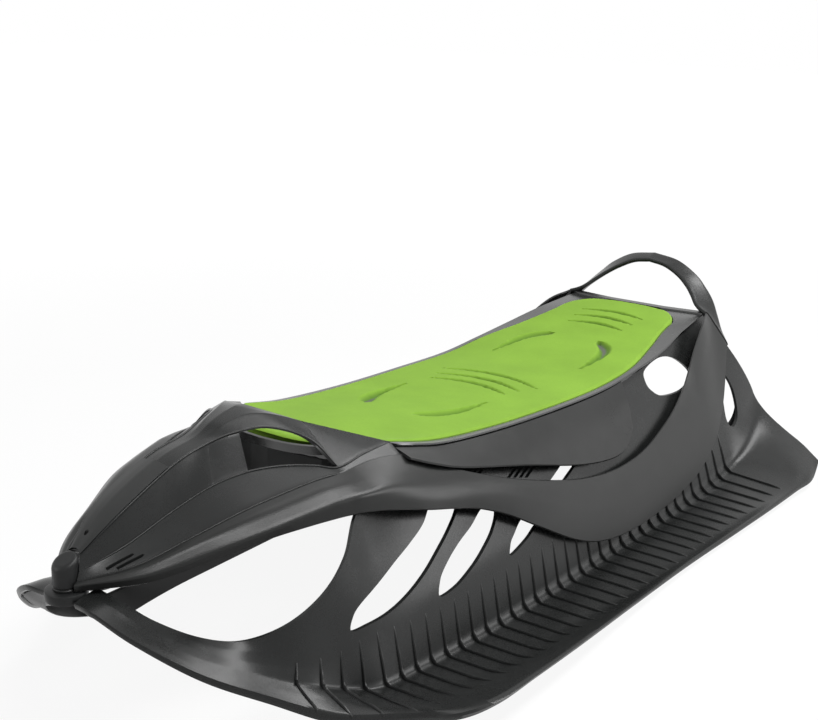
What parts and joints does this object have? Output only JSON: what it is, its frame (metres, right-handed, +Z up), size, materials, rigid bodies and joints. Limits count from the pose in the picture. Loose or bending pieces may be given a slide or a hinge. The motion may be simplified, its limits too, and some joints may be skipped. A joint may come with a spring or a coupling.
{
  "type": "steering sled",
  "caption": "Low plastic sled with a padded saddle seat, ribbed footboards, twin keels, a pierced nose with an arched front grip, and a flat rear grab hoop.",
  "frame": {"origin": "on the ground, at the middle of the overall length and width", "axes": "+Z up, nose towards -Y, rear hoop towards +Y, +X across the sled; the sled is alike left and right about X = 0"},
  "size_m": [0.62, 1.207, 0.298],
  "materials": {
    "anthracite_plastic": "satin moulded plastic",
    "black_plastic": "dull moulded plastic",
    "green_foam": "matt closed-cell foam",
    "steel": "zinc-plated"
  },
  "bodies": {
    "root": {"wing_right": "anthracite_plastic", "wing_left": "anthracite_plastic", "keel_right": "black_plastic", "keel_left": "black_plastic", "tail_skirt_right": "black_plastic", "tail_skirt_left": "black_plastic", "side_panel_right": "anthracite_plastic", "side_panel_left": "anthracite_plastic", "seat_skirt_right": "anthracite_plastic", "seat_skirt_left": "anthracite_plastic", "seat_deck": "anthracite_plastic", "seat_pad": "green_foam", "nose_shell": "anthracite_plastic", "spine_cover": "anthracite_plastic", "nose_cap": "black_plastic", "nose_collar": "black_plastic", "nose_nut": "steel", "nose_washer": "steel", "nose_bolt": "steel", "front_bulkhead": "black_plastic", "rear_panel": "black_plastic", "grab_hoop": "anthracite_plastic"}
  },
  "joints": []
}
